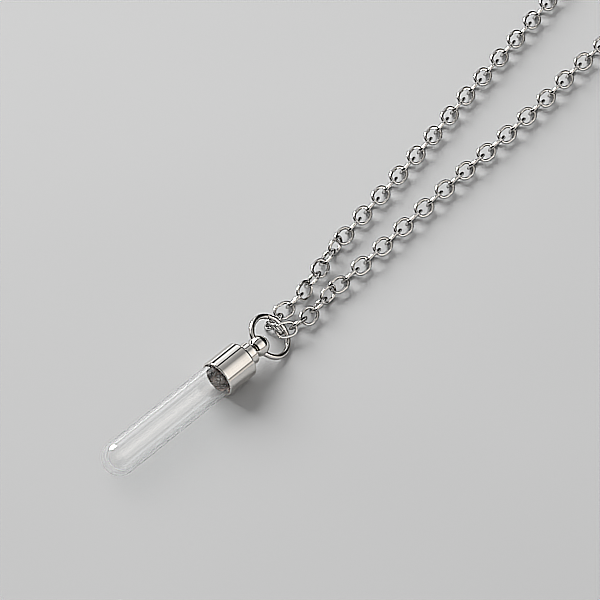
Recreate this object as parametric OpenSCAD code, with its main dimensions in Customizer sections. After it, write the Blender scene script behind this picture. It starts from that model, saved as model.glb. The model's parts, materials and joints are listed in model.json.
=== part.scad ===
// Bottle pendant on a link chain, as it lies on a table.
// A glass vial with a round tip sits in a polished metal cap. The cap ends in a
// ball with a cross hole, a jump ring hangs in the ball, and the chain runs
// through the jump ring. Millimetres, +Z up, the pendant's axis along +Y.

/* [Vial] */
// Outer diameter of the glass tube
vial_d = 6; // [5.2:0.1:7.2]
// Wall of the glass tube
vial_wall = 0.55; // [0.4:0.05:0.9]
// Thickness of the glass at the middle of the round tip
vial_tip_wall = 1.1; // [0.7:0.1:1.6]
// Length of glass that shows, from the cap's mouth to the tip
vial_show = 26.2; // [18:0.2:34]

/* [Cap] */
// Wall of the cap round the glass
cap_wall = 0.32; // [0.25:0.01:0.5]
// Gap between the cap's bore and the glass
fit_gap = 0.08; // [0.05:0.01:0.12]
// Length of the cap's barrel
cap_len = 6.3; // [5:0.1:9]
// Thickness of the cap's closed end
cap_end = 1.2; // [0.9:0.05:1.6]
// Rounding of the cap's shoulder
shoulder_r = 0.45; // [0.2:0.05:0.7]
// Rounding of the cap's mouth
lip_r = 0.15; // [0.05:0.01:0.15]
// Diameter of the collar between barrel and ball
collar_d = 4.2; // [3.6:0.1:5]
// Height of the collar
collar_h = 2; // [1.2:0.1:2.4]
// Rounding of the collar's edge
collar_r = 0.3; // [0.1:0.05:0.5]
// Diameter of the ball
ball_d = 3.8; // [3.2:0.1:4]
// Depth to which the ball is sunk into the collar
ball_sink = 0.1; // [0.05:0.05:0.3]

/* [Jump ring] */
// Outer diameter of the jump ring
ring_d = 8.6; // [8.2:0.1:9.2]
// Wire of the jump ring
ring_wire = 1; // [0.8:0.05:1]
// Width of the cut in the jump ring
ring_cut = 0.12; // [0.08:0.01:0.2]
// Place of the cut on the jump ring, in degrees from its right side
ring_cut_at = 140; // [120:5:160]
// Play round the jump ring in the ball's hole
ring_play = 0.06; // [0.04:0.01:0.12]
// Lean of the jump ring, its right side down
ring_lean = 35; // [25:1:40]
// Swing of the jump ring to the left of the pendant's axis
ring_swing = 9.5; // [5:0.5:15]

/* [Chain] */
// Length of a link over its wire
link_len = 4.26; // [4:0.02:4.6]
// Width of a link over its wire
link_w = 3.1; // [2.9:0.05:3.3]
// Wire of a link
link_wire = 0.58; // [0.44:0.02:0.6]
// Least gap between the wires of two hooked links of a straight stretch
link_gap = 0.12; // [0.1:0.01:0.3]

/* [Clasp] */
// Outer diameter of the clasp's hoop
hoop_d = 7; // [6:0.1:9]
// Wire of the hoop
hoop_wire = 1.1; // [0.9:0.05:1.2]
// Outer diameter of the clasp's eye
eye_d = 3; // [2.8:0.1:3.6]
// Wire of the eye
eye_wire = 0.7; // [0.6:0.05:0.8]
// Gap between hoop and eye, which a short bar bridges
clasp_neck = 0.5; // [0.3:0.1:1]
// Reach of the thumb knob past the hoop
knob_reach = 1; // [0.6:0.1:1.6]
// Play between the clasp's wire and the links that hook into it
clasp_play = 0.3; // [0.2:0.05:0.4]

/* [Hidden] */
$fn = 48;

metal_colour = "#CBC8C3";
glass_colour = "#DCE4E6";

// Pendant: sizes along its axis are counted from the cap's mouth
vial_r = vial_d / 2;
bore_r = vial_r + fit_gap;
cap_r = bore_r + cap_wall;
vial_seat = cap_len - cap_end - fit_gap;
tip_reach = vial_show - vial_r;
ball_r = ball_d / 2;
ball_at = cap_len + collar_h + ball_r - ball_sink;

// Rest: the rounded mouth of the cap and the round tip both touch the table
lip_out = cap_r - lip_r;
lip_back = tip_reach + lip_r;
rise = acos((vial_r - lip_r) / norm([lip_out, lip_back])) - atan2(lip_back, lip_out);
mouth_z = vial_r + tip_reach * sin(rise);
ball = [0, ball_at * cos(rise), mouth_z + ball_at * sin(rise)];

// Jump ring: it sags across the ball's hole by ring_sag, and its pitch rests its lowest point
ring_r = (ring_d - ring_wire) / 2;
ring_sag = ring_r - sqrt(pow(ring_r, 2) - pow(ball_r, 2));
hole_r = ring_wire / 2 + ring_sag / 2 + ring_play;
ring_out = ring_r - ring_sag / 2;
drop = ball.z - ring_wire / 2;
lean_a = pow(ring_out, 2) - pow(ring_r * cos(ring_lean), 2);
lean_c = pow(drop, 2) - pow(ring_r * sin(ring_lean), 2);
ring_pitch = asin((drop * ring_out - sqrt(pow(drop * ring_out, 2) - lean_a * lean_c)) / lean_a);
far_reach = (ring_out + ring_r) * cos(ring_pitch);
far = [ball.x - far_reach * sin(ring_swing), ball.y + far_reach * cos(ring_swing)];

// Links: a face-on link and an edge-on link take turns, and the edge-on one rests on the table
wire_r = link_wire / 2;
bend_r = (link_w - link_wire) / 2;
side_half = link_len / 2 - wire_r - bend_r;
pitch = link_len - 2 * link_wire - link_gap;
face_roll = 27;
edge_roll = -63;
link_z = bend_r * abs(sin(edge_roll)) + wire_r;

// Links at the jump ring, from its far point: x, y and z as shares of the pitch, then heading, dip, roll
LEFT_KNOT = [
    [-0.79, 0.13, 0.36, 98, 7, -33],
    [-0.89, 1.10, 0.44, 84, 0, 24],
    [-0.96, 2.07, 0.48, 95, 0, -58]
];
RIGHT_KNOT = [
    [-0.21, -0.40, 0.69, -18, 31, -63],
    [0.42, -0.11, 0.78, 66, -4, 29],
    [0.51, 0.82, 0.65, 98, -23, -61]
];

// Rolls of the links after the knot, where each strand still turns over
LEFT_ROLLS = [50, -44, 22, -42, 75, 16];
RIGHT_ROLLS = [22, -48, 70, 11];

// Route of each strand over the table after its knot, from the jump ring's far point to the clasp
LEFT_ROUTE = [
    [-3.2, 9], [-4.6, 14], [-6.2, 18.9], [-7, 23], [-8, 28.6], [-10, 40.2], [-12.2, 51.8],
    [-14.6, 63.4], [-16.7, 74.8], [-18.9, 86.5], [-22, 100], [-29, 113], [-39, 126],
    [-49, 140], [-54, 156], [-52, 172], [-44, 187], [-31, 198]
];
RIGHT_ROUTE = [
    [1.4, 5.3], [0.8, 8.3], [0.3, 12], [0.1, 17.2], [0, 19.8], [-0.4, 25.7], [-1.4, 37.7],
    [-2.2, 49.6], [-2.8, 61.4], [-3.7, 73.3], [-5, 85.2], [-5, 100], [1, 113], [11, 126],
    [19.5, 140], [23.5, 156.5], [21, 173], [13, 187.5], [0, 198]
];
CLASP_SPOT = [-16, 199];
ROUTE_STEPS = 8;
HEADING_STEP = 0.5;

// Clasp: a hoop and an eye in one plane, lifted by the links that pass under their wires
hoop_r = (hoop_d - hoop_wire) / 2;
eye_r = (eye_d - eye_wire) / 2;
eye_at = (hoop_d + eye_d) / 2 + clasp_neck;
bar_r = eye_wire / 2 - 0.05;
clasp_z = link_wire + clasp_play / 2 + hoop_wire / 2;
hook_reach = side_half + bend_r - wire_r - clasp_play;
clasp_mid = (eye_at + eye_r - hoop_r) / 2;
clasp_at = far + CLASP_SPOT;
left_end = CLASP_SPOT - [clasp_mid + hoop_r + hook_reach - hoop_wire / 2, 0];
right_end = CLASP_SPOT + [eye_at + eye_r - clasp_mid + hook_reach - eye_wire / 2, 0];

// Point of a smooth curve between b and c, with a before them and d after, t from 0 to 1
function between(a, b, c, d, t) =
    b + (c - a) * t / 2 + (a - 2.5 * b + 2 * c - d / 2) * t * t + (1.5 * (b - c) + (d - a) / 2) * t * t * t;

// The smooth curve through the points of a route, as a row of close points
function smooth(points) =
    let (last = len(points) - 1)
    [
        for (i = [0 : last - 1], j = [0 : ROUTE_STEPS - 1])
            between(points[max(i - 1, 0)], points[i], points[i + 1], points[min(i + 2, last)], j / ROUTE_STEPS),
        points[last]
    ];

// Distance run at each point of a curve
function distances(curve) =
    [for (i = 0, s = 0; i < len(curve); s = s + norm(curve[min(i + 1, len(curve) - 1)] - curve[i]), i = i + 1) s];

// Height of a link's centre when it rests on its lower side
function rest_z(roll) = max(link_z, bend_r * abs(sin(roll)) + wire_r);

// Links along a route as rows of x, y, z, heading, dip, roll, an even number of steps apart
function strand(route, rolls) =
    let (
        curve = smooth(route),
        run = distances(curve),
        x_at = [for (i = [0 : len(run) - 1]) [run[i], far.x + curve[i].x]],
        y_at = [for (i = [0 : len(run) - 1]) [run[i], far.y + curve[i].y]],
        full = run[len(run) - 1],
        steps = 2 * ceil(full / (2 * pitch))
    )
    [
        for (k = [0 : steps])
            let (
                s = full * k / steps,
                dx = lookup(s + HEADING_STEP, x_at) - lookup(s - HEADING_STEP, x_at),
                dy = lookup(s + HEADING_STEP, y_at) - lookup(s - HEADING_STEP, y_at),
                roll = k < len(rolls) ? rolls[k] : k % 2 == 0 ? edge_roll : face_roll
            )
            [lookup(s, x_at), lookup(s, y_at), rest_z(roll), atan2(dy, dx), 0, roll]
    ];

// Links of a knot as rows of x, y, z, heading, dip, roll
function knot(rows) =
    [for (r = rows) [far.x + r[0] * pitch, far.y + r[1] * pitch, r[2] * pitch, r[3], r[4], r[5]]];

left_links = concat(knot(LEFT_KNOT), strand(concat(LEFT_ROUTE, [left_end]), LEFT_ROLLS));
right_links = concat(knot(RIGHT_KNOT), strand(concat(RIGHT_ROUTE, [right_end]), RIGHT_ROLLS));
all_links = concat(left_links, right_links);

// Half the size of a placed link along X (axis 0) or Y (axis 1)
function half_size(link, axis) =
    let (
        turn = axis == 0 ? link[3] : link[3] - 90,
        along = cos(link[4]) * cos(turn),
        across = -sin(link[4]) * sin(link[5]) * cos(turn) - cos(link[5]) * sin(turn)
    )
    side_half * abs(along) + bend_r * norm([along, across]) + wire_r;

// The origin is under the middle of the whole necklace's box
function low(axis) = min([for (link = all_links) link[axis] - half_size(link, axis)]);
function high(axis) = max([for (link = all_links) link[axis] + half_size(link, axis)]);
low_y = -tip_reach * cos(rise) - vial_r;
high_y = max(high(1), clasp_at.y + hoop_d / 2);
origin_shift = [-(low(0) + high(0)) / 2, -(low_y + high_y) / 2, 0];

module in_frame() {
    translate(origin_shift) children();
}

// Places the pendant, which is made upright on its mouth, lying along +Y
module lying() {
    in_frame() translate([0, 0, mouth_z]) rotate([rise - 90, 0, 0]) children();
}

// Half outline of a round-tipped rod: the tip reaches down by reach, the flat end up by back
module rod_outline(r, reach, back) {
    translate([0, r - reach]) square([r, reach - r + back]);
    intersection() {
        translate([0, r - reach]) circle(r);
        translate([0, -reach]) square([r, r]);
    }
}

module vial() {
    color(glass_colour) lying() rotate_extrude() difference() {
        rod_outline(vial_r, vial_show, vial_seat);
        rod_outline(vial_r - vial_wall, vial_show - vial_tip_wall, vial_seat + 1);
    }
}

// Half outline of a disc of radius r from y0 to y1 with rounded rims, low_round at y0 and high_round at y1
module disc_outline(r, y0, y1, low_round, high_round) {
    polygon([
        [0, y0], [r - low_round, y0], [r, y0 + low_round],
        [r, y1 - high_round], [r - high_round, y1], [0, y1]
    ]);
    if (low_round > 0) translate([r - low_round, y0 + low_round]) circle(low_round);
    if (high_round > 0) translate([r - high_round, y1 - high_round]) circle(high_round);
}

module cap_body() {
    difference() {
        union() {
            rotate_extrude() disc_outline(cap_r, 0, cap_len, lip_r, shoulder_r);
            rotate_extrude() disc_outline(collar_d / 2, cap_len - 0.5, cap_len + collar_h, 0, collar_r);
        }
        translate([0, 0, -1]) cylinder(h = cap_len - cap_end + 1, r = bore_r);
    }
    translate([0, 0, ball_at]) sphere(ball_r);
}

// Places what is centred on the ball with its own X along the jump ring's wire there
module at_ball() {
    in_frame() translate(ball) rotate([0, 0, ring_swing]) rotate([-ring_pitch, 0, 0])
        rotate([0, ring_lean, 0]) children();
}

module cap() {
    color(metal_colour) difference() {
        lying() cap_body();
        at_ball() rotate([0, 90, 0]) cylinder(h = ball_d + 1, r = hole_r, center = true);
    }
}

module jump_ring() {
    cut_angle = ring_cut / ring_r * 180 / PI;
    color(metal_colour) at_ball() translate([0, ring_out, 0]) rotate([0, 0, ring_cut_at + cut_angle / 2])
        rotate_extrude(angle = 360 - cut_angle) translate([ring_r, 0]) circle(ring_wire / 2);
}

// One link, its length along X
module link() {
    for (side = [-1, 1]) {
        translate([0, side * bend_r, 0]) rotate([0, 90, 0])
            cylinder(h = 2 * side_half, r = wire_r, center = true);
        translate([side * side_half, 0, 0]) rotate([0, 0, -90 * side])
            rotate_extrude(angle = 180) translate([bend_r, 0]) circle(wire_r);
    }
}

module chain(links) {
    color(metal_colour) in_frame() for (l = links)
        translate([l[0], l[1], l[2]]) rotate([0, -l[4], l[3]]) rotate([l[5], 0, 0]) link();
}

module chain_left() {
    chain(left_links);
}

module chain_right() {
    chain(right_links);
}

module clasp() {
    color(metal_colour) in_frame() translate([clasp_at.x - clasp_mid, clasp_at.y, clasp_z]) {
        rotate_extrude() translate([hoop_r, 0]) circle(hoop_wire / 2);
        translate([eye_at, 0, 0]) rotate_extrude() translate([eye_r, 0]) circle(eye_wire / 2);
        translate([hoop_r, 0, 0]) rotate([0, 90, 0]) cylinder(h = eye_at - eye_r - hoop_r, r = bar_r);
        translate([0, -hoop_r, 0]) rotate([90, 0, 0]) cylinder(h = hoop_wire / 2 + knob_reach, r = bar_r);
    }
}

vial();
cap();
jump_ring();
chain_left();
chain_right();
clasp();
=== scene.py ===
# %% [markdown]
# # A glass bottle pendant on its chain
# A small glass vial sits in a mirror-polished steel cap, and a jump ring joins the cap to a
# chain that lies as one long loop. The solids of every piece come from a CAD frame. This lesson
# dresses that frame: it makes smooth meshes for the glass, the cap, the ring and the links,
# gives each one its finish, and lights them as small jewellery is lit for a catalogue picture.
# We start by loading the frame.

# %% Load the frame
import json
from math import acos, asin, atan2, cos, hypot, pi, radians, sin, sqrt

import bmesh
import bpy
import numpy as np
from mathutils import Matrix, Vector

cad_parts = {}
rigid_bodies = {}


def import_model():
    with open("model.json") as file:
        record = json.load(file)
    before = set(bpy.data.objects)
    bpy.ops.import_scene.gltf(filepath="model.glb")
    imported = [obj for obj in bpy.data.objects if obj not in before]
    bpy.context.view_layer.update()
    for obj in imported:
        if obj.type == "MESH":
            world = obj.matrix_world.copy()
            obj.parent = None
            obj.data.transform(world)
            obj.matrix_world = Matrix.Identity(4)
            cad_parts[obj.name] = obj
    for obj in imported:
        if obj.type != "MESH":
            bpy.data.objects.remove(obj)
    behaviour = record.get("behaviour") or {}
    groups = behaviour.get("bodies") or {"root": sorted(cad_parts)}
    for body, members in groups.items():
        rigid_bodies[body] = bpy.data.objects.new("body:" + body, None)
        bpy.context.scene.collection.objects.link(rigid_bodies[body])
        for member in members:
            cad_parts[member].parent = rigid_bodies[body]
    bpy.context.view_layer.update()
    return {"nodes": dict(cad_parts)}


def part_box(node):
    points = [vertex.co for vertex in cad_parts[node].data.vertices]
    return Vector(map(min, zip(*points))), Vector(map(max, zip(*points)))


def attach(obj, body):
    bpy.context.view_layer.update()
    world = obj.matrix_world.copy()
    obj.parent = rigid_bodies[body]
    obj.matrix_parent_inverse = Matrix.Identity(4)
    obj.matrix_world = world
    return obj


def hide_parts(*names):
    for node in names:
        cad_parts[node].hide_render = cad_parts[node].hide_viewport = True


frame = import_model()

print("nodes in the frame:", ", ".join(sorted(frame["nodes"])))

# %% [markdown]
# ## The sizes of the pendant
# Jewellery is drawn in millimetres and Blender works in metres, so every mesh here is modelled
# in millimetres and brought into place by one matrix that also shrinks it. The names and values
# are those of the CAD model. A turned part is easiest to think about along its own axis: zero
# is the cap's mouth, the glass tip lies below zero and the ball lies above it.

# %% Sizes in millimetres
MM = 0.001
VIAL_R, VIAL_WALL, TIP_WALL, VIAL_SHOW = 3.0, 0.55, 1.1, 26.2
CAP_WALL, FIT_GAP, CAP_LEN, CAP_END = 0.32, 0.08, 6.3, 1.2
SHOULDER_R, LIP_R = 0.45, 0.15
COLLAR_R, COLLAR_H, COLLAR_ROUND = 2.1, 2.0, 0.3
BALL_R, BALL_SINK = 1.9, 0.1
RING_D, RING_WIRE, RING_CUT, RING_CUT_AT = 8.6, 1.0, 0.12, 140
RING_PLAY, RING_LEAN, RING_SWING = 0.06, 35, 9.5
LINK_LEN, LINK_W, LINK_WIRE = 4.26, 3.1, 0.58

BORE_R = VIAL_R + FIT_GAP
CAP_R = BORE_R + CAP_WALL
VIAL_SEAT = CAP_LEN - CAP_END - FIT_GAP
TIP_REACH = VIAL_SHOW - VIAL_R
BALL_AT = CAP_LEN + COLLAR_H + BALL_R - BALL_SINK
print(f"cap {2 * CAP_R:.2f} mm wide, pendant {VIAL_SHOW + BALL_AT + BALL_R:.1f} mm long")

# %% [markdown]
# ## How the pendant lies
# The pendant rests on two points, the round glass tip and the rim of the cap, so its axis
# rises by about one degree. Instead of turning the object, we build a matrix with the same
# turn and put it into each mesh. The frame's own box for the vial says where on the table the
# pendant is, so the glass lands exactly on its CAD node.

# %% The pendant's own axes
lip_out, lip_back = CAP_R - LIP_R, TIP_REACH + LIP_R
rise = acos((VIAL_R - LIP_R) / hypot(lip_out, lip_back)) - atan2(lip_back, lip_out)
mouth_z = VIAL_R + TIP_REACH * sin(rise)
vial_low, vial_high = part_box("vial")
mouth = Vector((
    (vial_low.x + vial_high.x) / 2 / MM,
    vial_low.y / MM + TIP_REACH * cos(rise) + VIAL_R,
    mouth_z,
))
PENDANT = Matrix.Scale(MM, 4) @ Matrix.Translation(mouth) @ Matrix.Rotation(rise - pi / 2, 4, "X")
print(f"axis rises {rise * 180 / pi:.2f} degrees, mouth at {tuple(round(c, 2) for c in mouth)} mm")

# %% [markdown]
# ## The camera
# The camera comes first, because every later choice is judged through it. The picture looks
# down at 48 degrees from the side of the glass tip. Lines that run away from us barely meet,
# which tells of a long lens far from the table. The camera is placed by stepping back from the
# point on the table that is seen in the middle of the picture.

# %% Camera
LOOK_AT = Vector((0.01215, -0.07176, 0.0))
VIEW = Vector((-0.4602, 0.4858, -0.7431)).normalized()
CAMERA_FAR = 0.653
LENS_MM, SENSOR_MM = 226, 36

camera_data = bpy.data.cameras.new("camera")
camera_data.lens = LENS_MM
camera_data.sensor_width = SENSOR_MM
camera_data.clip_start = 0.01
camera_data.clip_end = 20
camera = bpy.data.objects.new("camera", camera_data)
camera.location = LOOK_AT - VIEW * CAMERA_FAR
camera.rotation_euler = VIEW.to_track_quat("-Z", "Y").to_euler()
bpy.context.scene.collection.objects.link(camera)
bpy.context.scene.camera = camera
bpy.context.scene.view_settings.view_transform = "Standard"
print("camera at", tuple(round(c, 3) for c in camera.location))

# %% [markdown]
# ## Sharpening the picture
# Catalogue pictures of jewellery are sharpened a little, so that a wire a few pixels wide keeps
# its dark and bright lines. A Filter node in the compositor does that here. It works on the
# picture as the eye sees it: highlights are first cut off at white, and a gamma before and
# after the filter keeps dark lines from being pushed harder than bright ones. What the filter
# pushes below black is cut off as well. A short function adds one step, which reads the picture
# of the step before it.

# %% Sharpening
SHARPEN, EYE_GAMMA = 0.27, 2.2
WHITE, BLACK = (1, 1, 1, 1), (0, 0, 0, 1)

bpy.context.scene.use_nodes = True
picture = bpy.context.scene.node_tree
picture.nodes.clear()


def picture_step(kind, before):
    step = picture.nodes.new("CompositorNode" + kind)
    picture.links.new(before.outputs["Image"], step.inputs["Image"])
    return step


rendered = picture.nodes.new("CompositorNodeRLayers")
below_white = picture_step("MixRGB", rendered)
below_white.blend_type = "DARKEN"
below_white.inputs[2].default_value = WHITE
to_eye = picture_step("Gamma", below_white)
to_eye.inputs["Gamma"].default_value = 1 / EYE_GAMMA
crisp = picture_step("Filter", to_eye)
crisp.filter_type = "SHARPEN"
crisp.inputs["Fac"].default_value = SHARPEN
above_black = picture_step("MixRGB", crisp)
above_black.blend_type = "LIGHTEN"
above_black.inputs[2].default_value = BLACK
to_light = picture_step("Gamma", above_black)
to_light.inputs["Gamma"].default_value = EYE_GAMMA
picture_step("Composite", to_light)
print("picture sharpened by", SHARPEN)

# %% [markdown]
# ## A small kit for materials
# A node material is a chain of small steps. These helpers add one step each and return the
# socket that the next step reads, so that each finish further down reads like a recipe.
# Patterns are placed by Object coordinates, which are metres here, so a noise of scale 1000
# has grains about a millimetre wide.

# %% Material helpers
def new_material(name):
    material = bpy.data.materials.new(name)
    material.use_nodes = True
    return material, material.node_tree.nodes, material.node_tree.links


def object_coords(nodes, links, scale=(1, 1, 1)):
    where = nodes.new("ShaderNodeTexCoord")
    mapping = nodes.new("ShaderNodeMapping")
    mapping.inputs["Scale"].default_value = scale
    links.new(where.outputs["Object"], mapping.inputs["Vector"])
    return mapping.outputs["Vector"]


def noise(nodes, links, coords, scale, detail, roughness=0.5):
    node = nodes.new("ShaderNodeTexNoise")
    node.inputs["Scale"].default_value = scale
    node.inputs["Detail"].default_value = detail
    node.inputs["Roughness"].default_value = roughness
    links.new(coords, node.inputs["Vector"])
    return node.outputs["Fac"]


def spread(nodes, links, value, low, high, start=0.3, end=0.7):
    node = nodes.new("ShaderNodeMapRange")
    for name, number in (("From Min", start), ("From Max", end), ("To Min", low), ("To Max", high)):
        node.inputs[name].default_value = number
    links.new(value, node.inputs["Value"])
    return node.outputs["Result"]


def blend_colours(nodes, links, value, stops):
    node = nodes.new("ShaderNodeValToRGB")
    ramp = node.color_ramp
    while len(ramp.elements) < len(stops):
        ramp.elements.new(0.5)
    for element, (place, colour) in zip(ramp.elements, stops):
        element.position = place
        element.color = (*colour, 1)
    links.new(value, node.inputs["Fac"])
    return node.outputs["Color"]


def bump(nodes, links, height, depth, strength):
    node = nodes.new("ShaderNodeBump")
    node.inputs["Distance"].default_value = depth
    node.inputs["Strength"].default_value = strength
    links.new(height, node.inputs["Height"])
    return node.outputs["Normal"]


print("material helpers ready")

# %% [markdown]
# ## The table
# The pendant lies on a smooth, pale grey sheet. A plane would do, but a sheet of card has a
# little tone and tooth of its own, and both help the eye to feel the surface. The sheet is
# part of the stage and not of the object.

# %% Table
TABLE_HALF = 1.5
CARD_DARK, CARD_LIGHT = (0.585, 0.585, 0.585), (0.612, 0.612, 0.612)

bm = bmesh.new()
bmesh.ops.create_grid(bm, x_segments=4, y_segments=4, size=TABLE_HALF)
table_mesh = bpy.data.meshes.new("table")
bm.to_mesh(table_mesh)
bm.free()
table = bpy.data.objects.new("table", table_mesh)
bpy.context.scene.collection.objects.link(table)

card, nodes, links = new_material("grey_card")
shader = nodes["Principled BSDF"]
shader.inputs["Roughness"].default_value = 0.75
shader.inputs["Specular IOR Level"].default_value = 0.25
coords = object_coords(nodes, links)
tone = noise(nodes, links, coords, scale=9, detail=2)
links.new(
    blend_colours(nodes, links, tone, ((0.3, CARD_DARK), (0.7, CARD_LIGHT))),
    shader.inputs["Base Color"],
)
tooth = noise(nodes, links, coords, scale=2500, detail=4, roughness=0.6)
links.new(bump(nodes, links, tooth, depth=0.00002, strength=0.3), shader.inputs["Normal"])
table_mesh.materials.append(card)
print("table", 2 * TABLE_HALF, "m wide")

# %% [markdown]
# ## The light tent
# Polished metal has almost no colour of its own: what we see on it is the room. Jewellery is
# photographed in a tent of white cloth with a few gaps, and each gap shows as a crisp dark line
# on a cap or a wire. The tent is painted on the sky, as bands of light that run along the
# pendant, because a band's place on the cap follows from one angle: zero is straight up, minus
# ninety is the left horizon. Both ends of the tent are open and dark: one behind the chain and
# one where the photographer stands. They draw the black edges of the ball and of every wire.
# Only mirrors and glass see the bands, and rays that have passed through the glass see them
# almost twice as bright, which gives the tube its clean white. The table gets an even, faint
# light from the same sky, so that the lamp alone decides how deep its shadows are. The bands
# are divided by the sky's strength, so their numbers are the light that a mirror sees.

# %% World
BANDS = (
    (-180, 0.55, 0.0), (-91, 0.80, 0.0), (-89, 1.15, 0.0), (-86, 1.15, 0.0), (-84, 0.90, 0.0),
    (-80, 0.85, 0.0), (-78, 0.10, 0.0), (-70, 0.10, 0.0), (-64, 0.65, 0.0), (-58, 1.18, 0.0),
    (-53, 1.20, 0.0), (-45, 0.94, 0.0), (-36, 0.78, 0.0), (-31.5, 0.62, 0.0),
    (-30.5, 0.0, 0.0), (-25.5, 0.0, 0.0), (-24, 0.57, 0.1), (-4, 0.36, 0.2),
    (9, 0.34, 0.3), (21, 0.75, 0.7), (33, 1.02, 0.9), (50, 1.14, 1.0), (69, 1.04, 1.0),
    (73, 0.38, 1.0), (77, 0.40, 1.0), (83, 0.74, 1.0), (100, 0.70, 1.0), (180, 0.55, 0.5),
)
TENT_ENDS = ((-1, 0.02), (-0.60, 0.02), (-0.44, 1.0), (0.62, 1.0), (0.76, 0.10), (1, 0.03))
WARMTH = Vector((1.0, 0.955, 0.905))
FAINT, BACKDROP = 0.17, 0.30
SKY_LIGHT, SKY_IN_GLASS = 2.0, 3.8

world = bpy.data.worlds.new("light_tent")
bpy.context.scene.world = world
world.use_nodes = True
nodes, links = world.node_tree.nodes, world.node_tree.links
direction = nodes.new("ShaderNodeSeparateXYZ")
links.new(nodes.new("ShaderNodeTexCoord").outputs["Generated"], direction.inputs[0])
angle = nodes.new("ShaderNodeMath")
angle.operation = "ARCTAN2"
links.new(direction.outputs["X"], angle.inputs[0])
links.new(direction.outputs["Z"], angle.inputs[1])
across = blend_colours(nodes, links, spread(nodes, links, angle.outputs[0], 0, 1, -pi, pi), [
    ((degrees + 180) / 360, Vector((1, 1, 1)).lerp(WARMTH, warm) * light / SKY_LIGHT)
    for degrees, light, warm in BANDS
])
along = blend_colours(nodes, links, spread(nodes, links, direction.outputs["Y"], 0, 1, -1, 1), [
    ((place + 1) / 2, (light, light, light)) for place, light in TENT_ENDS
])
tent = nodes.new("ShaderNodeMix")
tent.data_type = "RGBA"
tent.blend_type = "MULTIPLY"
tent.inputs["Factor"].default_value = 1
links.new(across, tent.inputs["A"])
links.new(along, tent.inputs["B"])

paths = nodes.new("ShaderNodeLightPath")
plain = nodes.new("ShaderNodeMix")
plain.data_type = "RGBA"
links.new(paths.outputs["Is Camera Ray"], plain.inputs["Factor"])
plain.inputs["A"].default_value = (FAINT, FAINT, FAINT, 1)
plain.inputs["B"].default_value = (BACKDROP, BACKDROP, BACKDROP, 1)
mirrored = nodes.new("ShaderNodeMath")
mirrored.operation = "MAXIMUM"
links.new(paths.outputs["Is Glossy Ray"], mirrored.inputs[0])
links.new(paths.outputs["Is Transmission Ray"], mirrored.inputs[1])
sky = nodes.new("ShaderNodeMix")
sky.data_type = "RGBA"
links.new(mirrored.outputs[0], sky.inputs["Factor"])
links.new(plain.outputs["Result"], sky.inputs["A"])
links.new(tent.outputs["Result"], sky.inputs["B"])
background = nodes["Background"]
links.new(sky.outputs["Result"], background.inputs["Color"])
from_glass = paths.outputs["Is Transmission Ray"]
strength = spread(nodes, links, from_glass, SKY_LIGHT, SKY_IN_GLASS, start=0, end=1)
links.new(strength, background.inputs["Strength"])
print(len(BANDS), "bands of light on the tent")

# %% [markdown]
# ## The lamps
# The soft shadows fall to the right and towards us, so the strongest light comes from the left
# and a little from behind. A wide area lamp gives shadows that are dark at the contact and fade
# out within a few millimetres. It stands where the tent's brightest band is, and that band is
# its mirror image, so mirrors and glass don't see the lamp itself. A second, smaller lamp beside
# it does the opposite: it only shows as the white glint on the ball and the wires, and lights
# nothing else. It hangs a little in front of the first one, because a ray that passes through a
# hidden lamp would miss a second one in the same plane.

# %% Lamps
KEY_PLACE, KEY_SIZE, KEY_WATTS = Vector((-1.24, 0.204, 0.868)), (1.36, 1.02), 31.4
GLINT_PLACE, GLINT_SIZE, GLINT_WATTS = Vector((-1.16, 0.01, 0.82)), (0.72, 0.64), 15.0
LAMP_AIM = Vector((0.016, -0.09, 0))


def area_lamp(name, place, size, watts):
    data = bpy.data.lights.new(name, "AREA")
    data.shape = "RECTANGLE"
    data.size, data.size_y = size
    data.energy = watts
    lamp = bpy.data.objects.new(name, data)
    lamp.location = place
    lamp.rotation_euler = (LAMP_AIM - place).to_track_quat("-Z", "Y").to_euler()
    lamp.visible_camera = False
    lamp.visible_transmission = False
    bpy.context.scene.collection.objects.link(lamp)
    return lamp


key_lamp = area_lamp("key_lamp", KEY_PLACE, KEY_SIZE, KEY_WATTS)
key_lamp.visible_glossy = False
glint_lamp = area_lamp("glint_lamp", GLINT_PLACE, GLINT_SIZE, GLINT_WATTS)
glint_lamp.visible_diffuse = False
print("lamps of", key_lamp.data.energy, "and", glint_lamp.data.energy, "W")

# %% [markdown]
# ## Drawing a half outline
# Glass tubes, caps and balls are round about one axis, so each is a half outline that is spun
# once round. The outline is drawn as a draughtsman would: put the pen down, draw a straight
# line, draw an arc about a centre. An extruded vertex leaves a line behind it and a spun one
# leaves an arc. Smooth shading blends the direction of a wall with that of the rounding next to
# it, which would bend every reflection along a long wall. A wall therefore gets a short piece
# at both ends, and the blending stays inside these pieces. Points nearer than the merge distance
# become one, and an edge that turns by more than the sharp angle stays crisp.

# %% Outline helpers
WALL_END, MERGE_MM, SHARP_ANGLE = 0.02, 0.0005, 35


def pen_down(bm, r, z):
    return bm.verts.new((r, 0, z))


def line_to(bm, point, r, z):
    new = bmesh.ops.extrude_vert_indiv(bm, verts=[point])["verts"][0]
    new.co = (r, 0, z)
    return new


def wall_to(bm, point, r, z):
    end = Vector((r, 0, z))
    short = (end - point.co).normalized() * WALL_END
    for spot in (point.co + short, end - short, end):
        point = line_to(bm, point, spot.x, spot.z)
    return point


def arc_to(bm, point, centre_r, centre_z, degrees, steps):
    spun = bmesh.ops.spin(
        bm, geom=[point], cent=(centre_r, 0, centre_z), axis=(0, -1, 0),
        angle=radians(degrees), steps=steps, use_duplicate=False,
    )
    return [v for v in spun["geom_last"] if isinstance(v, bmesh.types.BMVert)][0]


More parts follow.
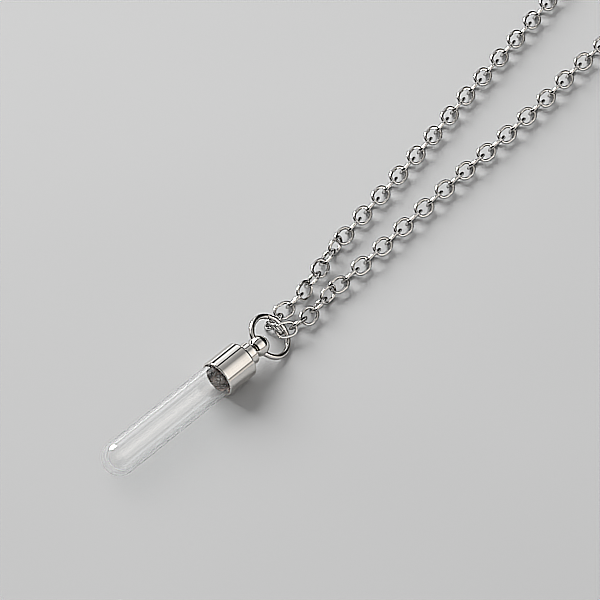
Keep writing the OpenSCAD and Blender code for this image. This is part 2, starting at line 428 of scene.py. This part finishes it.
def spin_round(bm, steps):
    bmesh.ops.spin(
        bm, geom=bm.verts[:] + bm.edges[:], cent=(0, 0, 0), axis=(0, 0, 1),
        angle=2 * pi, steps=steps, use_merge=True, use_duplicate=False,
    )
    bmesh.ops.remove_doubles(bm, verts=bm.verts[:], dist=MERGE_MM)
    bmesh.ops.recalc_face_normals(bm, faces=bm.faces[:])


def finish_piece(bm, name, place, sharp=SHARP_ANGLE):
    bm.transform(place)
    mesh = bpy.data.meshes.new(name)
    bm.to_mesh(mesh)
    bm.free()
    mesh.shade_smooth()
    mesh.set_sharp_from_angle(angle=radians(sharp))
    piece = bpy.data.objects.new(name, mesh)
    bpy.context.scene.collection.objects.link(piece)
    print(f"{name}: {len(mesh.polygons)} faces")
    return piece


print("outline helpers ready")

# %% [markdown]
# ## The glass vial
# A vial is a piece of glass tube whose end was melted shut, so its tip is thicker than its wall
# and the inside ends in a smaller dome. Both surfaces matter, since a clear thing is only seen
# by how it bends and mirrors light. One outline goes up the outside and down the inside, and
# the cut end, which sits deep in the cap, is rounded as if polished in a flame.

# %% Vial
RIM_ROUND = 0.12
inner_r = VIAL_R - VIAL_WALL
inner_centre = inner_r - (VIAL_SHOW - TIP_WALL)

bm = bmesh.new()
pen = pen_down(bm, 0, -VIAL_SHOW)
pen = arc_to(bm, pen, 0, -TIP_REACH, degrees=90, steps=24)
pen = wall_to(bm, pen, VIAL_R, VIAL_SEAT - RIM_ROUND)
pen = arc_to(bm, pen, VIAL_R - RIM_ROUND, VIAL_SEAT - RIM_ROUND, degrees=90, steps=4)
pen = line_to(bm, pen, inner_r + RIM_ROUND, VIAL_SEAT)
pen = arc_to(bm, pen, inner_r + RIM_ROUND, VIAL_SEAT - RIM_ROUND, degrees=90, steps=4)
pen = wall_to(bm, pen, inner_r, inner_centre)
pen = arc_to(bm, pen, 0, inner_centre, degrees=-90, steps=20)
spin_round(bm, steps=96)
glass_vial = finish_piece(bm, "glass_vial", PENDANT)
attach(glass_vial, "root")
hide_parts("vial")

# %% [markdown]
# ## Clear glass
# Real glass bends light through both of its surfaces, and a lamp's light also comes out on the
# other side. A path tracer is slow at finding that light, so the glass lets rays from the lamps
# and from the table straight through, which keeps its shadow as faint as it is in the picture.
# A drawn tube is never quite even: long, very shallow streaks run along it.

# %% Glass finish
GLASS_DARK, GLASS_LIGHT = (0.99, 0.995, 0.995), (1.0, 1.0, 1.0)
STREAK_SCALE = (800, 14, 800)

glass, nodes, links = new_material("clear_glass")
shader = nodes["Principled BSDF"]
shader.inputs["Transmission Weight"].default_value = 1.0
shader.inputs["IOR"].default_value = 1.5
streaks = noise(nodes, links, object_coords(nodes, links, STREAK_SCALE), scale=1, detail=2)
links.new(spread(nodes, links, streaks, low=0.0, high=0.008), shader.inputs["Roughness"])
links.new(bump(nodes, links, streaks, depth=0.0000015, strength=0.4), shader.inputs["Normal"])
links.new(
    blend_colours(nodes, links, streaks, ((0.3, GLASS_DARK), (0.7, GLASS_LIGHT))),
    shader.inputs["Base Color"],
)
clear = nodes.new("ShaderNodeBsdfTransparent")
clear.inputs["Color"].default_value = (0.955, 0.958, 0.958, 1)
paths = nodes.new("ShaderNodeLightPath")
lets_pass = nodes.new("ShaderNodeMath")
lets_pass.operation = "MAXIMUM"
links.new(paths.outputs["Is Shadow Ray"], lets_pass.inputs[0])
links.new(paths.outputs["Is Diffuse Ray"], lets_pass.inputs[1])
choose = nodes.new("ShaderNodeMixShader")
links.new(lets_pass.outputs[0], choose.inputs["Fac"])
links.new(shader.outputs[0], choose.inputs[1])
links.new(clear.outputs[0], choose.inputs[2])
links.new(choose.outputs[0], nodes["Material Output"].inputs["Surface"])
glass_vial.data.materials.append(glass)
print("glass finish on", glass_vial.name)

# %% [markdown]
# ## A glint for the glass
# Seen from the front, clear glass mirrors only a twenty-fifth of the light, and steel two
# thirds. The lamp that draws a fine line on a wire is far too weak to show on the round tip. So
# a third lamp hangs a short step in front of it, and light linking lets it reach the glass alone.

# %% Glass glint
GLASS_WATTS, STEP_FORWARD = 24.0, 0.03

glass_place = GLINT_PLACE.lerp(LAMP_AIM, STEP_FORWARD)
glass_glint = area_lamp("glass_glint", glass_place, GLINT_SIZE, GLASS_WATTS)
glass_only = bpy.data.collections.new("glass_only")
glass_only.objects.link(glass_vial)
glass_glint.light_linking.receiver_collection = glass_only
print("glass glint of", glass_glint.data.energy, "W on", glass_only.objects[0].name)

# %% [markdown]
# ## The polished cap
# The cap is turned from one bar: a barrel with a bore for the glass, a narrow collar and a
# ball. One outline starts at the bottom of the bore, comes out over the rounded mouth, and goes
# up over shoulder and collar to the top of the ball.

# %% Cap body
bm = bmesh.new()
pen = pen_down(bm, 0, CAP_LEN - CAP_END)
pen = line_to(bm, pen, BORE_R, CAP_LEN - CAP_END)
pen = line_to(bm, pen, BORE_R, 0)
pen = line_to(bm, pen, CAP_R - LIP_R, 0)
pen = arc_to(bm, pen, CAP_R - LIP_R, LIP_R, degrees=90, steps=6)
pen = wall_to(bm, pen, CAP_R, CAP_LEN - SHOULDER_R)
pen = arc_to(bm, pen, CAP_R - SHOULDER_R, CAP_LEN - SHOULDER_R, degrees=90, steps=8)
pen = wall_to(bm, pen, COLLAR_R, CAP_LEN)
round_z = CAP_LEN + COLLAR_H - COLLAR_ROUND
pen = wall_to(bm, pen, COLLAR_R, round_z)
pen = arc_to(bm, pen, COLLAR_R - COLLAR_ROUND, round_z, degrees=90, steps=6)
neck_r = sqrt(BALL_R ** 2 - (BALL_R - BALL_SINK) ** 2)
pen = wall_to(bm, pen, neck_r, CAP_LEN + COLLAR_H)
neck_angle = atan2(BALL_R - BALL_SINK, neck_r) * 180 / pi
pen = arc_to(bm, pen, 0, BALL_AT, degrees=90 + neck_angle, steps=40)
spin_round(bm, steps=128)
polished_cap = finish_piece(bm, "polished_cap", PENDANT)

# %% [markdown]
# ## The hole through the ball
# The jump ring runs through a cross hole in the ball. The hole follows the ring's wire, so it is
# turned with the ring: first the ring's sideways swing, then its pitch down to the table, then
# its lean. The pitch is the one at which the ring just touches the table, and its sine is the
# answer of a quadratic equation. A Boolean modifier cuts the hole with a short rod, and the
# result becomes the cap's mesh, so that the rod can be deleted.

# %% Ring axes and cross hole
ROD_SIDES, ROD_SPARE = 64, 1.0

ball = mouth + Vector((0, BALL_AT * cos(rise), BALL_AT * sin(rise)))
ring_r = (RING_D - RING_WIRE) / 2
ring_sag = ring_r - sqrt(ring_r ** 2 - BALL_R ** 2)
ring_out = ring_r - ring_sag / 2
hole_r = RING_WIRE / 2 + ring_sag / 2 + RING_PLAY
drop = ball.z - RING_WIRE / 2
squared = ring_out ** 2 - (ring_r * cos(radians(RING_LEAN))) ** 2
half_linear = drop * ring_out
constant = drop ** 2 - (ring_r * sin(radians(RING_LEAN))) ** 2
ring_pitch = asin((half_linear - sqrt(half_linear ** 2 - squared * constant)) / squared)
AT_BALL = (
    Matrix.Scale(MM, 4) @ Matrix.Translation(ball) @ Matrix.Rotation(radians(RING_SWING), 4, "Z")
    @ Matrix.Rotation(-ring_pitch, 4, "X") @ Matrix.Rotation(radians(RING_LEAN), 4, "Y")
)

bm = bmesh.new()
bmesh.ops.create_cone(
    bm, cap_ends=True, segments=ROD_SIDES, radius1=hole_r, radius2=hole_r,
    depth=2 * BALL_R + ROD_SPARE,
    matrix=Matrix.Rotation(pi / 2, 4, "Y"),
)
rod = finish_piece(bm, "hole_rod", AT_BALL)
cut = polished_cap.modifiers.new("cross_hole", "BOOLEAN")
cut.operation = "DIFFERENCE"
cut.solver = "EXACT"
cut.object = rod
bpy.context.view_layer.update()
depsgraph = bpy.context.evaluated_depsgraph_get()
drilled = bpy.data.meshes.new_from_object(polished_cap.evaluated_get(depsgraph))
polished_cap.modifiers.remove(cut)
polished_cap.data = drilled
bpy.data.objects.remove(rod)
drilled.shade_smooth()
drilled.set_sharp_from_angle(angle=radians(SHARP_ANGLE))
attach(polished_cap, "root")
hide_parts("cap")
print(f"hole {2 * hole_r:.2f} mm wide, cap has {len(drilled.polygons)} faces")

# %% [markdown]
# ## Mirror-polished steel
# Polished steel is a metal shader with very little roughness. What makes it real is how it
# fails to be perfect: a buffing wheel leaves hair-fine lines, and handling leaves faint cloudy
# patches where the mirror is a touch softer. Both are driven by noise. For turned parts the
# lines run round the axis, so the noise is squeezed along it. The edge value tints what is seen
# at a grazing angle: below one, it is painted shade, a dark outline along the edges of thin wires.

# %% Steel finish
def polished_steel(name, dark, light, smooth, soft, line_scale, line_depth, edge=1.0):
    steel, nodes, links = new_material(name)
    shader = nodes["Principled BSDF"]
    shader.inputs["Metallic"].default_value = 1.0
    # below one, the edge tint paints shade as a dark outline at grazing angles
    shader.inputs["Specular Tint"].default_value = (edge, edge, edge, 1)
    coords = object_coords(nodes, links)
    clouds = noise(nodes, links, coords, scale=420, detail=3, roughness=0.55)
    links.new(
        blend_colours(nodes, links, clouds, ((0.3, dark), (0.7, light))),
        shader.inputs["Base Color"],
    )
    line_coords = object_coords(nodes, links, line_scale)
    lines = noise(nodes, links, line_coords, scale=1, detail=2, roughness=0.6)
    both = nodes.new("ShaderNodeMath")
    both.operation = "ADD"
    links.new(spread(nodes, links, clouds, smooth, soft), both.inputs[0])
    links.new(spread(nodes, links, lines, low=0.0, high=0.02), both.inputs[1])
    links.new(both.outputs[0], shader.inputs["Roughness"])
    links.new(bump(nodes, links, lines, line_depth, strength=0.6), shader.inputs["Normal"])
    return steel


cap_steel = polished_steel(
    "polished_cap_steel", dark=(0.745, 0.722, 0.69), light=(0.785, 0.765, 0.735),
    smooth=0.03, soft=0.07, line_scale=(700, 16000, 700), line_depth=0.0000006,
)
print("made", cap_steel.name)

# %% [markdown]
# ## Glue and painted shade in the bore
# Through the glass we look into the mouth of the cap, at the film of glue between the glass and
# the rough bore. Little light gets in there, and the colour is painted darker still: its
# near-black and brown patches are the glue's mottle and also painted shade of the deep bore. The
# tiny bright specks are painted glints of bubbles and scratches. Two noises make it: a coarse one
# for the brown and grey patches, and a fine one that is cut off high up, so that only small
# specks are left. The faces that lie on the bore or inside it get this finish as the cap's
# second material.

# %% Bore finish
# near-black and brown stops: the glue's mottle, darkened as painted shade of the deep bore
GLUE_AND_SHADE_PATCHES = (
    (0.38, (0.015, 0.013, 0.012)), (0.50, (0.27, 0.215, 0.19)), (0.62, (0.90, 0.74, 0.66)),
)
# white speck colour: painted glints of bubbles and scratches
SPECK_GLINT = (0.95, 0.93, 0.90, 1)
TOUCH = 0.01

# the bore's finish paints shade and glints into the glue's colour
bore_glue_and_shade, nodes, links = new_material("glued_bore_painted_shade")
shader = nodes["Principled BSDF"]
coords = object_coords(nodes, links)
patches = noise(nodes, links, coords, scale=800, detail=3, roughness=0.55)
# fine noise that places the painted glints
speck_glints = noise(nodes, links, coords, scale=3300, detail=2, roughness=0.6)
colour = nodes.new("ShaderNodeMix")
colour.data_type = "RGBA"
links.new(spread(nodes, links, speck_glints, 0, 1, start=0.58, end=0.63), colour.inputs["Factor"])
links.new(blend_colours(nodes, links, patches, GLUE_AND_SHADE_PATCHES), colour.inputs["A"])
colour.inputs["B"].default_value = SPECK_GLINT
links.new(colour.outputs["Result"], shader.inputs["Base Color"])
shader.inputs["Metallic"].default_value = 0.3
links.new(spread(nodes, links, patches, low=0.25, high=0.55), shader.inputs["Roughness"])
links.new(bump(nodes, links, patches, depth=0.00006, strength=0.8), shader.inputs["Normal"])

polished_cap.data.materials.clear()
polished_cap.data.materials.append(cap_steel)
polished_cap.data.materials.append(bore_glue_and_shade)
to_pendant = PENDANT.inverted()
for face in polished_cap.data.polygons:
    spot = to_pendant @ face.center
    inside = hypot(spot.x, spot.y) < BORE_R + TOUCH and spot.z < CAP_LEN - CAP_END + TOUCH
    face.material_index = int(inside)
in_bore = sum(face.material_index for face in polished_cap.data.polygons)
print(in_bore, "faces of the cap are bore")

# %% [markdown]
# ## The jump ring
# A jump ring is one turn of wire, cut and pushed shut, and a hair-thin gap stays at the cut. A
# disc of wire is spun almost once round. Spinning a face leaves it standing at the start and at
# the end, so the ring is closed, and a small bevel takes the sharp edge off both cut faces.

# %% Jump ring
WIRE_SIDES, RING_STEPS, CUT_BEVEL = 24, 120, 0.05
cut_angle = RING_CUT / ring_r

bm = bmesh.new()
bmesh.ops.create_circle(
    bm, cap_ends=True, segments=WIRE_SIDES, radius=RING_WIRE / 2,
    matrix=Matrix.Translation((ring_r, 0, 0)) @ Matrix.Rotation(pi / 2, 4, "X"),
)
bmesh.ops.spin(
    bm, geom=bm.faces[:], cent=(0, 0, 0), axis=(0, 0, 1), angle=2 * pi - cut_angle,
    steps=RING_STEPS, use_duplicate=False,
)
bmesh.ops.recalc_face_normals(bm, faces=bm.faces[:])
cut_edges = {edge for face in bm.faces if len(face.verts) == WIRE_SIDES for edge in face.edges}
bmesh.ops.bevel(
    bm, geom=list(cut_edges), offset=CUT_BEVEL, segments=2, profile=0.5, affect="EDGES",
    material=-1,
)
place = (
    AT_BALL @ Matrix.Translation((0, ring_out, 0))
    @ Matrix.Rotation(radians(RING_CUT_AT) + cut_angle / 2, 4, "Z")
)
wire_ring = finish_piece(bm, "wire_ring", place)
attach(wire_ring, "root")
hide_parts("jump_ring")

# the ring's edge tint of 0.55 paints a thin dark outline of shade
wire_steel = polished_steel(
    "polished_wire_steel", dark=(0.72, 0.70, 0.675), light=(0.775, 0.755, 0.73),
    smooth=0.04, soft=0.11, line_scale=(5200, 5200, 5200), line_depth=0.000001, edge=0.55,
)
wire_ring.data.materials.append(wire_steel)

# %% [markdown]
# ## One link
# There are more than a hundred and fifty links, so the link has to be light: six sides round
# the wire and four steps round each bend. Half a ring of wire is spun and moved out to one end,
# copied to the other end, and the two halves are bridged by straight sides. A cut across the
# middle of each side keeps it straight when the cage is rounded.

# %% Link cage
LINK_SIDES, BEND_STEPS = 6, 4
wire_r = LINK_WIRE / 2
bend_r = (LINK_W - LINK_WIRE) / 2
side_half = LINK_LEN / 2 - wire_r - bend_r

bm = bmesh.new()
bmesh.ops.create_circle(
    bm, cap_ends=False, segments=LINK_SIDES, radius=wire_r,
    matrix=Matrix.Translation((0, -bend_r, 0)) @ Matrix.Rotation(pi / 2, 4, "Y"),
)
bmesh.ops.spin(
    bm, geom=bm.edges[:], cent=(0, 0, 0), axis=(0, 0, 1), angle=pi, steps=BEND_STEPS,
    use_duplicate=False,
)
bmesh.ops.translate(bm, verts=bm.verts[:], vec=(side_half, 0, 0))
copied = bmesh.ops.duplicate(bm, geom=bm.verts[:] + bm.edges[:] + bm.faces[:])
bmesh.ops.rotate(
    bm, verts=[v for v in copied["geom"] if isinstance(v, bmesh.types.BMVert)],
    cent=(0, 0, 0), matrix=Matrix.Rotation(pi, 3, "Z"),
)
for side in (-1, 1):
    open_ends = [
        edge for edge in bm.edges
        if edge.is_boundary and all(v.co.y * side > 0 for v in edge.verts)
    ]
    bmesh.ops.bridge_loops(bm, edges=open_ends)
side_edges = [edge for edge in bm.edges if edge.verts[0].co.x * edge.verts[1].co.x < 0]
bmesh.ops.subdivide_edges(bm, edges=side_edges, cuts=1)
bmesh.ops.recalc_face_normals(bm, faces=bm.faces[:])
link_mesh = bpy.data.meshes.new("link_cage")
bm.to_mesh(link_mesh)
bm.free()
print("one link:", len(link_mesh.polygons), "faces")

# %% [markdown]
# ## Fitting the cage to the link
# A Subdivision modifier rounds the cage, but it also pulls every corner inwards. So the cage is
# tried on one object first. Its corners stand where the real wire's surface is; each round
# measures how far the rounded surface has moved away from them, and pushes the corners out by
# as much. After a few rounds the round wire runs through all of these points.

# %% Measure and fit
ROUND_LEVELS, FIT_ROUNDS = 2, 10


def round_off(piece):
    smooth = piece.modifiers.new("round_wire", "SUBSURF")
    smooth.levels = smooth.render_levels = ROUND_LEVELS
    smooth.use_limit_surface = True


trial = bpy.data.objects.new("trial", link_mesh)
bpy.context.scene.collection.objects.link(trial)
round_off(trial)
wanted = np.array([v.co for v in link_mesh.vertices])
for fit_round in range(FIT_ROUNDS):
    bpy.context.view_layer.update()
    rounded = trial.evaluated_get(bpy.context.evaluated_depsgraph_get()).data
    reached = np.array([v.co for v in rounded.vertices[:len(wanted)]])
    corners = np.array([v.co for v in link_mesh.vertices]) + wanted - reached
    link_mesh.vertices.foreach_set("co", corners.ravel())
    link_mesh.update()
spots = np.array([v.co for v in rounded.vertices])
print("rounded link", (spots.max(0) - spots.min(0)).round(3), "mm")
print("its corners are off by", abs(wanted - reached).max().round(4), "mm")
bpy.data.objects.remove(trial)

# %% [markdown]
# ## Laying the strands
# The frame already knows how each link lies, so nothing is placed by hand. A copy of the CAD
# chain is merged and taken apart into its links, and each link's long axis, width and middle
# are read from its own points. Then the light cage is put there. The copy is thrown away, and
# the CAD chain itself stays as it was.

# %% Find the links in a CAD chain
MERGE_M = 0.000001


def loose_parts(bm):
    seen = set()
    for start in bm.verts:
        if start in seen:
            continue
        part, front = [], [start]
        seen.add(start)
        while front:
            vert = front.pop()
            part.append(vert.co)
            for edge in vert.link_edges:
                other = edge.other_vert(vert)
                if other not in seen:
                    seen.add(other)
                    front.append(other)
        yield np.array(part)


def link_places(node):
    bm = bmesh.new()
    bm.from_mesh(frame["nodes"][node].data)
    bmesh.ops.remove_doubles(bm, verts=bm.verts[:], dist=MERGE_M)
    places = []
    for points in loose_parts(bm):
        axes = np.linalg.eigh(np.cov(points.T))[1][:, ::-1]
        axes[:, 2] = np.cross(axes[:, 0], axes[:, 1])
        along = points @ axes
        middle = axes @ ((along.max(0) + along.min(0)) / 2)
        place = Matrix(np.column_stack([axes, middle]).tolist()).to_4x4()
        places.append(place @ Matrix.Scale(MM, 4))
    bm.free()
    return places


print("link finder ready")

# %% [markdown]
# ## The two strands
# Each strand becomes one mesh, because a single object is easy to move and to export. The
# cage's mesh is added once for every place and turned there, and the Subdivision modifier stays
# live on the whole strand. No edge of a link stays crisp, so the sharp angle is a half turn. The
# wire's finish is a little softer than the cap's, as chain is tumbled in a drum and not buffed
# by hand.

# %% Strands
# the chain's edge tint of 0.12 paints a dark outline of shade round every wire
chain_steel = polished_steel(
    "tumbled_chain_steel", dark=(0.66, 0.652, 0.638), light=(0.73, 0.722, 0.708),
    smooth=0.03, soft=0.09, line_scale=(6500, 6500, 6500), line_depth=0.000001, edge=0.12,
)
for node, name in (("chain_left", "links_left"), ("chain_right", "links_right")):
    bm = bmesh.new()
    places = link_places(node)
    for place in places:
        before = len(bm.verts)
        bm.from_mesh(link_mesh)
        bm.verts.ensure_lookup_table()
        bmesh.ops.transform(bm, matrix=place, verts=bm.verts[before:])
    strand = finish_piece(bm, name, Matrix.Identity(4), sharp=180)
    round_off(strand)
    strand.data.materials.append(chain_steel)
    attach(strand, "root")
    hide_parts(node)
    print(len(places), "links in", name)

# %% [markdown]
# ## The clasp
# The clasp lies far behind the pendant, where the picture doesn't reach. Its CAD node already
# has the right shape, a hoop with an eye, a bar and a thumb knob, so it keeps its mesh and gets
# only its finish.

# %% Clasp finish
clasp_steel = polished_steel(
    "polished_clasp_steel", dark=(0.73, 0.71, 0.68), light=(0.78, 0.76, 0.735),
    smooth=0.04, soft=0.10, line_scale=(3000, 3000, 3000), line_depth=0.0000015,
)
clasp = frame["nodes"]["clasp"]
clasp.data.materials.clear()
clasp.data.materials.append(clasp_steel)
print("clasp wears", clasp_steel.name)

# %% [markdown]
# ## The end
# Every piece of the pendant is now dressed.

# %% Finish
print("pendant dressed")
